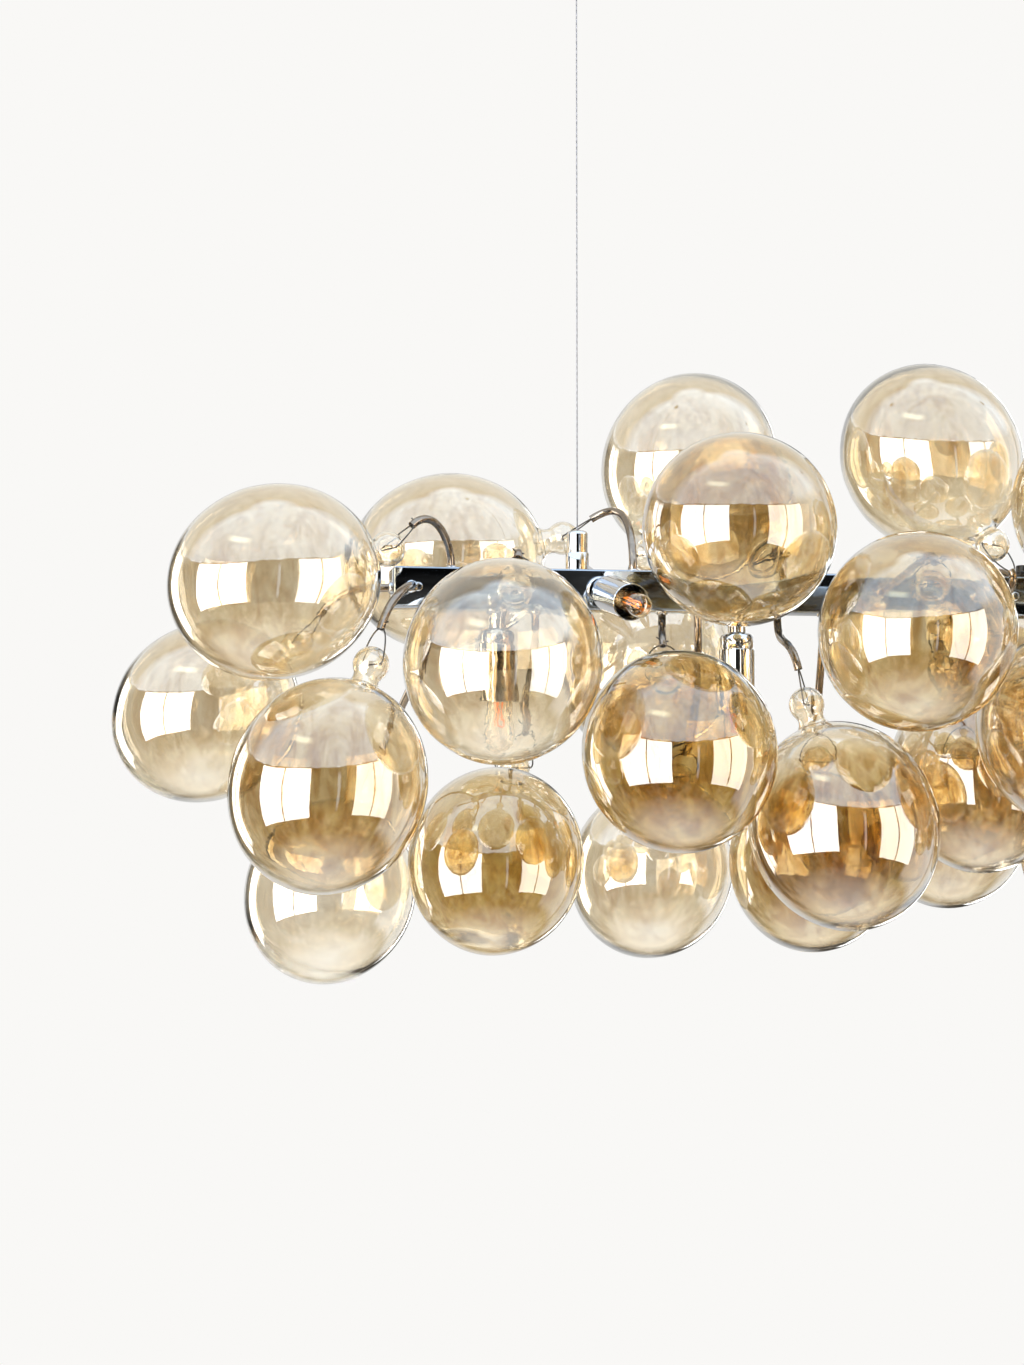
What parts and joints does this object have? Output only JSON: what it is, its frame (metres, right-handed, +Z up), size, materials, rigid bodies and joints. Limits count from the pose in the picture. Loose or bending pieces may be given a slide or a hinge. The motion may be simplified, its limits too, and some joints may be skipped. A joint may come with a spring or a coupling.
{
  "type": "pendant light",
  "caption": "Linear pendant light: a chrome box bar on two steel wires, bent arms with wire hooks carrying a cloud of amber glass balls, and tubular lamps.",
  "frame": {"origin": "on the ceiling plane, midway between the two ceiling cups", "axes": "+X along the bar, -Y towards the viewer, +Z up"},
  "size_m": [1.2898, 0.483, 0.7783],
  "materials": {
    "chrome": "polished chrome plate",
    "steel_wire": "stranded stainless steel wire",
    "amber_glass": "clear blown glass with a pale amber lustre",
    "bulb_glass": "clear tubular bulb with amber filament and metal screw cap",
    "gland_black": "satin black moulded nylon"
  },
  "bodies": {
    "ceiling": {"ceiling_cup_left": "chrome", "ceiling_cup_right": "chrome"},
    "light": {"bar_frame": "chrome", "cable_gland": "gland_black", "grip_body_left": "chrome", "grip_body_right": "chrome", "wire_left": "steel_wire", "wire_right": "steel_wire", "lampholder_1": "chrome", "lampholder_2": "chrome", "lampholder_3": "chrome", "lampholder_4": "chrome", "lampholder_5": "chrome", "lampholder_6": "chrome", "lampholder_7": "chrome", "lampholder_8": "chrome", "bulb_1": "bulb_glass", "bulb_2": "bulb_glass", "bulb_3": "bulb_glass", "bulb_4": "bulb_glass", "bulb_5": "bulb_glass", "bulb_6": "bulb_glass", "bulb_7": "bulb_glass", "bulb_8": "bulb_glass"},
    "button_left": {"grip_plunger_left": "chrome"},
    "button_right": {"grip_plunger_right": "chrome"},
    "ball_01": {"globe_01": "amber_glass"},
    "ball_02": {"globe_02": "amber_glass"},
    "ball_03": {"globe_03": "amber_glass"},
    "ball_04": {"globe_04": "amber_glass"},
    "ball_05": {"globe_05": "amber_glass"},
    "ball_06": {"globe_06": "amber_glass"},
    "ball_07": {"globe_07": "amber_glass"},
    "ball_08": {"globe_08": "amber_glass"},
    "ball_09": {"globe_09": "amber_glass"},
    "ball_10": {"globe_10": "amber_glass"},
    "ball_11": {"globe_11": "amber_glass"},
    "ball_12": {"globe_12": "amber_glass"},
    "ball_13": {"globe_13": "amber_glass"},
    "ball_14": {"globe_14": "amber_glass"},
    "ball_15": {"globe_15": "amber_glass"},
    "ball_16": {"globe_16": "amber_glass"},
    "ball_17": {"globe_17": "amber_glass"},
    "ball_18": {"globe_18": "amber_glass"},
    "ball_19": {"globe_19": "amber_glass"},
    "ball_20": {"globe_20": "amber_glass"},
    "ball_21": {"globe_21": "amber_glass"},
    "ball_22": {"globe_22": "amber_glass"},
    "ball_23": {"globe_23": "amber_glass"},
    "ball_24": {"globe_24": "amber_glass"},
    "ball_25": {"globe_25": "amber_glass"},
    "ball_26": {"globe_26": "amber_glass"},
    "ball_27": {"globe_27": "amber_glass"},
    "ball_28": {"globe_28": "amber_glass"},
    "ball_29": {"globe_29": "amber_glass"},
    "ball_30": {"globe_30": "amber_glass"},
    "ball_31": {"globe_31": "amber_glass"},
    "ball_32": {"globe_32": "amber_glass"},
    "ball_33": {"globe_33": "amber_glass"},
    "ball_34": {"globe_34": "amber_glass"}
  },
  "joints": [
    {"name": "bar_sway", "type": "hinge", "parent": "ceiling", "child": "light", "pos_m": [0, 0, -0.021], "axis": [1, 0, 0], "range_deg": [-8, 8]},
    {"name": "button_left_press", "type": "slide", "parent": "light", "child": "button_left", "axis": [0, 0, -1], "range_m": [0, 0.0025], "stiffness_N_per_m": 300},
    {"name": "button_right_press", "type": "slide", "parent": "light", "child": "button_right", "axis": [0, 0, -1], "range_m": [0, 0.0025], "stiffness_N_per_m": 300},
    {"name": "globe_01_swing", "type": "hinge", "parent": "light", "child": "ball_01", "pos_m": [-0.4536, -0.0454, -0.4564], "axis": [-0.3162, 0.9487, 0], "range_deg": [0, 12]},
    {"name": "globe_02_swing", "type": "hinge", "parent": "light", "child": "ball_02", "pos_m": [-0.50967, 0.03945, -0.52109], "axis": [0.4183, 0.9083, 0], "range_deg": [0, 12]},
    {"name": "globe_03_swing", "type": "hinge", "parent": "light", "child": "ball_03", "pos_m": [-0.30202, 0.07155, -0.43238], "axis": [0.1862, 0.9825, 0], "range_deg": [0, 12]},
    {"name": "globe_04_swing", "type": "hinge", "parent": "light", "child": "ball_04", "pos_m": [-0.36386, -0.06761, -0.48505], "axis": [-0.9561, 0.2932, 0], "range_deg": [0, 12]},
    {"name": "globe_05_swing", "type": "hinge", "parent": "light", "child": "ball_05", "pos_m": [-0.46971, -0.08282, -0.54223], "axis": [-0.4036, 0.9149, 0], "range_deg": [0, 7]},
    {"name": "globe_06_swing", "type": "hinge", "parent": "light", "child": "ball_06", "pos_m": [-0.33949, 0.07891, -0.61086], "axis": [-0.9104, 0.4138, 0], "range_deg": [0, 12]},
    {"name": "globe_07_swing", "type": "hinge", "parent": "light", "child": "ball_07", "pos_m": [-0.44658, 0.08805, -0.62774], "axis": [0.6508, 0.7593, 0], "range_deg": [0, 12]},
    {"name": "globe_08_swing", "type": "hinge", "parent": "light", "child": "ball_08", "pos_m": [-0.24794, -0.04275, -0.54576], "axis": [-0.9948, 0.102, 0], "range_deg": [0, 9]},
    {"name": "globe_09_swing", "type": "hinge", "parent": "light", "child": "ball_09", "pos_m": [-0.20365, 0.09689, -0.62598], "axis": [0.9884, 0.1521, 0], "range_deg": [0, 12]},
    {"name": "globe_10_swing", "type": "hinge", "parent": "light", "child": "ball_10", "pos_m": [-0.1734, -0.03215, -0.4501], "axis": [-0.9117, 0.4108, 0], "range_deg": [0, 12]},
    {"name": "globe_11_swing", "type": "hinge", "parent": "light", "child": "ball_11", "pos_m": [-0.06074, -0.09388, -0.48092], "axis": [-0.8944, 0.4472, 0], "range_deg": [0, 10]},
    {"name": "globe_12_swing", "type": "hinge", "parent": "light", "child": "ball_12", "pos_m": [-0.19597, 0.04095, -0.48323], "axis": [0.9363, 0.3511, 0], "range_deg": [0, 10]},
    {"name": "globe_13_swing", "type": "hinge", "parent": "light", "child": "ball_13", "pos_m": [-0.14808, -0.06764, -0.5671], "axis": [-0.4191, -0.908, 0], "range_deg": [0, 12]},
    {"name": "globe_14_swing", "type": "hinge", "parent": "light", "child": "ball_14", "pos_m": [-0.11095, 0.03065, -0.60428], "axis": [0.9762, -0.2169, 0], "range_deg": [0, 10]},
    {"name": "globe_15_swing", "type": "hinge", "parent": "light", "child": "ball_15", "pos_m": [-0.23603, 0.06298, -0.44514], "axis": [0.6139, -0.7894, 0], "range_deg": [0, 12]},
    {"name": "globe_16_swing", "type": "hinge", "parent": "light", "child": "ball_16", "pos_m": [0.01569, -0.01572, -0.44102], "axis": [0.8192, 0.5735, 0], "range_deg": [0, 12]},
    {"name": "globe_17_swing", "type": "hinge", "parent": "light", "child": "ball_17", "pos_m": [-0.01237, 0.03169, -0.53655], "axis": [-0.7071, -0.7071, 0], "range_deg": [0, 6]},
    {"name": "globe_18_swing", "type": "hinge", "parent": "light", "child": "ball_18", "pos_m": [0.03085, 0.10043, -0.59847], "axis": [0.9806, -0.1961, 0], "range_deg": [0, 7]},
    {"name": "globe_19_swing", "type": "hinge", "parent": "light", "child": "ball_19", "pos_m": [0.0119, -0.06278, -0.53595], "axis": [-0.9701, -0.2425, 0], "range_deg": [0, 12]},
    {"name": "globe_20_swing", "type": "hinge", "parent": "light", "child": "ball_20", "pos_m": [0.12193, -0.01744, -0.44966], "axis": [-0.848, 0.53, 0], "range_deg": [0, 8]},
    {"name": "globe_21_swing", "type": "hinge", "parent": "light", "child": "ball_21", "pos_m": [0.16188, 0.04556, -0.57952], "axis": [0.4191, 0.908, 0], "range_deg": [0, 6]},
    {"name": "globe_22_swing", "type": "hinge", "parent": "light", "child": "ball_22", "pos_m": [0.25121, -0.06574, -0.43824], "axis": [-0.6139, 0.7894, 0], "range_deg": [0, 12]},
    {"name": "globe_23_swing", "type": "hinge", "parent": "light", "child": "ball_23", "pos_m": [0.4536, 0.0454, -0.4564], "axis": [0.3162, -0.9487, 0], "range_deg": [0, 12]},
    {"name": "globe_24_swing", "type": "hinge", "parent": "light", "child": "ball_24", "pos_m": [0.50967, -0.03945, -0.52109], "axis": [-0.4183, -0.9083, 0], "range_deg": [0, 12]},
    {"name": "globe_25_swing", "type": "hinge", "parent": "light", "child": "ball_25", "pos_m": [0.30202, -0.07155, -0.43238], "axis": [-0.1862, -0.9825, 0], "range_deg": [0, 12]},
    {"name": "globe_26_swing", "type": "hinge", "parent": "light", "child": "ball_26", "pos_m": [0.36386, 0.06761, -0.48505], "axis": [0.9561, -0.2932, 0], "range_deg": [0, 12]},
    {"name": "globe_27_swing", "type": "hinge", "parent": "light", "child": "ball_27", "pos_m": [0.46971, 0.08282, -0.54223], "axis": [0.4036, -0.9149, 0], "range_deg": [0, 7]},
    {"name": "globe_28_swing", "type": "hinge", "parent": "light", "child": "ball_28", "pos_m": [0.33949, -0.07891, -0.61086], "axis": [0.9104, -0.4138, 0], "range_deg": [0, 12]},
    {"name": "globe_29_swing", "type": "hinge", "parent": "light", "child": "ball_29", "pos_m": [0.44658, -0.08805, -0.62774], "axis": [-0.6508, -0.7593, 0], "range_deg": [0, 12]},
    {"name": "globe_30_swing", "type": "hinge", "parent": "light", "child": "ball_30", "pos_m": [0.24794, 0.04275, -0.54576], "axis": [0.9948, -0.102, 0], "range_deg": [0, 9]},
    {"name": "globe_31_swing", "type": "hinge", "parent": "light", "child": "ball_31", "pos_m": [0.20365, -0.09689, -0.62598], "axis": [-0.9884, -0.1521, 0], "range_deg": [0, 12]},
    {"name": "globe_32_swing", "type": "hinge", "parent": "light", "child": "ball_32", "pos_m": [0.1734, 0.03215, -0.4501], "axis": [0.9117, -0.4108, 0], "range_deg": [0, 12]},
    {"name": "globe_33_swing", "type": "hinge", "parent": "light", "child": "ball_33", "pos_m": [0.06074, 0.09388, -0.48092], "axis": [0.8944, -0.4472, 0], "range_deg": [0, 10]},
    {"name": "globe_34_swing", "type": "hinge", "parent": "light", "child": "ball_34", "pos_m": [0.19597, -0.04095, -0.48323], "axis": [-0.9363, -0.3511, 0], "range_deg": [0, 10]}
  ]
}
